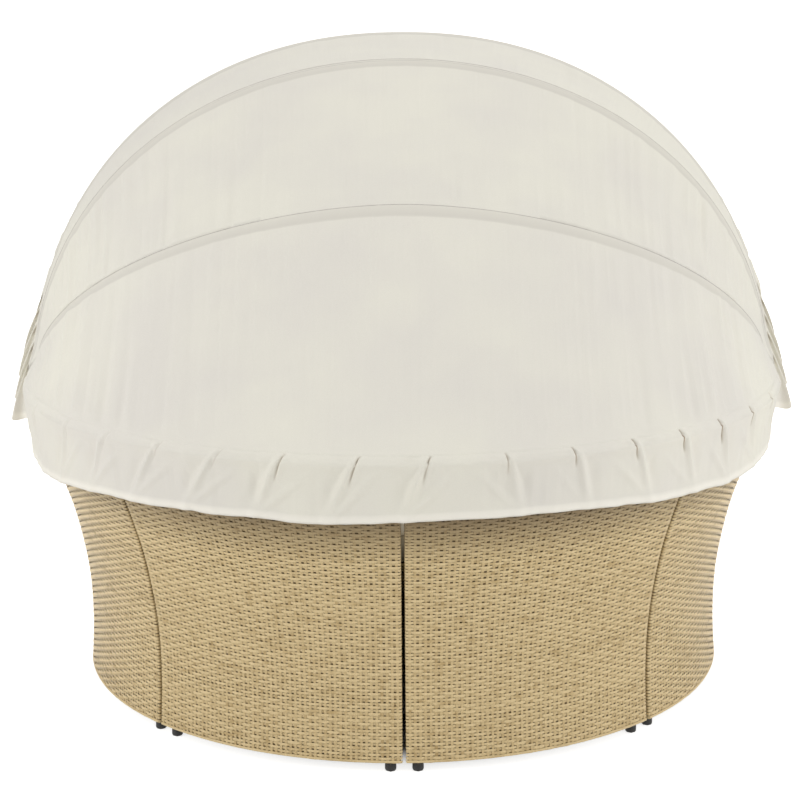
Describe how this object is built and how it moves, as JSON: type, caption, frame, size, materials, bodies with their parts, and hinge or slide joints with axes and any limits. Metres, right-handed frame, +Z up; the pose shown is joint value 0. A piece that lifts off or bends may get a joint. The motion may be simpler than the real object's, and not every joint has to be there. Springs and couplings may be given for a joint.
{
  "type": "outdoor daybed with canopy",
  "caption": "Round outdoor daybed of flared woven wicker pieces with cushions, under an ivory canopy on folding hoops with pleated valances.",
  "frame": {"origin": "middle of the overall box, on the floor", "axes": "+Z up, +Y towards the back, +X to the left hand of a person who faces the back of the daybed from behind it"},
  "size_m": [1.8818, 1.6768, 1.5009],
  "materials": {
    "wicker": "woven flat synthetic strand, straw coloured",
    "base_frame": "dark powder coat",
    "cushion_cover": "woven outdoor cover over foam",
    "canopy_cloth": "thin coated polyester, ivory",
    "hoop_tube": "brown powder coat",
    "black_plastic": "moulded",
    "zinc_steel": "zinc plated"
  },
  "bodies": {
    "base": {"seat_outer_right_wicker": "wicker", "seat_outer_right_frame": "base_frame", "seat_outer_right_cushion": "cushion_cover", "seat_rear_right_wicker": "wicker", "seat_rear_right_frame": "base_frame", "seat_rear_right_cushion": "cushion_cover", "seat_rear_left_wicker": "wicker", "seat_rear_left_frame": "base_frame", "seat_rear_left_cushion": "cushion_cover", "seat_outer_left_wicker": "wicker", "seat_outer_left_frame": "base_frame", "seat_outer_left_cushion": "cushion_cover", "ottoman_left_wicker": "wicker", "ottoman_left_frame": "base_frame", "ottoman_left_cushion": "cushion_cover", "ottoman_right_wicker": "wicker", "ottoman_right_frame": "base_frame", "ottoman_right_cushion": "cushion_cover", "stool_wicker": "wicker", "stool_frame": "base_frame", "stool_cushion": "cushion_cover", "joining_clip_side_right": "black_plastic", "joining_clip_rear_right": "black_plastic", "joining_clip_rear": "black_plastic", "joining_clip_rear_left": "black_plastic", "joining_clip_side_left": "black_plastic", "joining_clip_front": "black_plastic", "rear_hoop": "hoop_tube", "canopy_bracket_left": "zinc_steel", "pivot_bolt_left": "zinc_steel", "pivot_washer_outer_left": "black_plastic", "pivot_washer_middle_left": "black_plastic", "pivot_washer_inner_left": "black_plastic", "pivot_cap_nut_left": "zinc_steel", "bracket_screw_front_left": "zinc_steel", "bracket_screw_back_left": "zinc_steel", "canopy_bracket_right": "zinc_steel", "pivot_bolt_right": "zinc_steel", "pivot_washer_outer_right": "black_plastic", "pivot_washer_middle_right": "black_plastic", "pivot_washer_inner_right": "black_plastic", "pivot_cap_nut_right": "zinc_steel", "bracket_screw_front_right": "zinc_steel", "bracket_screw_back_right": "zinc_steel", "hoop_cradle_outer_right": "black_plastic", "cradle_screw_outer_right": "zinc_steel", "hoop_cradle_rear_right": "black_plastic", "cradle_screw_rear_right": "zinc_steel", "hoop_cradle_rear_left": "black_plastic", "cradle_screw_rear_left": "zinc_steel", "hoop_cradle_outer_left": "black_plastic", "cradle_screw_outer_left": "zinc_steel", "rear_valance": "canopy_cloth"},
    "second_hoop": {"second_hoop": "hoop_tube", "canopy_panel_rear": "canopy_cloth"},
    "third_hoop": {"third_hoop": "hoop_tube", "canopy_panel_middle": "canopy_cloth"},
    "front_hoop": {"front_hoop": "hoop_tube", "canopy_panel_front": "canopy_cloth", "front_valance": "canopy_cloth"}
  },
  "joints": [
    {"name": "second_hoop_fold", "type": "hinge", "parent": "base", "child": "second_hoop", "pos_m": [0, -0.02031, 0.7213], "axis": [1, 0, 0], "range_deg": [-40.2, 0], "deforming": ["canopy_panel_rear"]},
    {"name": "third_hoop_fold", "type": "hinge", "parent": "second_hoop", "child": "third_hoop", "pos_m": [0, -0.02031, 0.7213], "axis": [1, 0, 0], "range_deg": [-44.8, 0], "deforming": ["canopy_panel_middle"]},
    {"name": "front_hoop_fold", "type": "hinge", "parent": "third_hoop", "child": "front_hoop", "pos_m": [0, -0.02031, 0.7213], "axis": [1, 0, 0], "range_deg": [-11, 0], "deforming": ["canopy_panel_front"]}
  ]
}
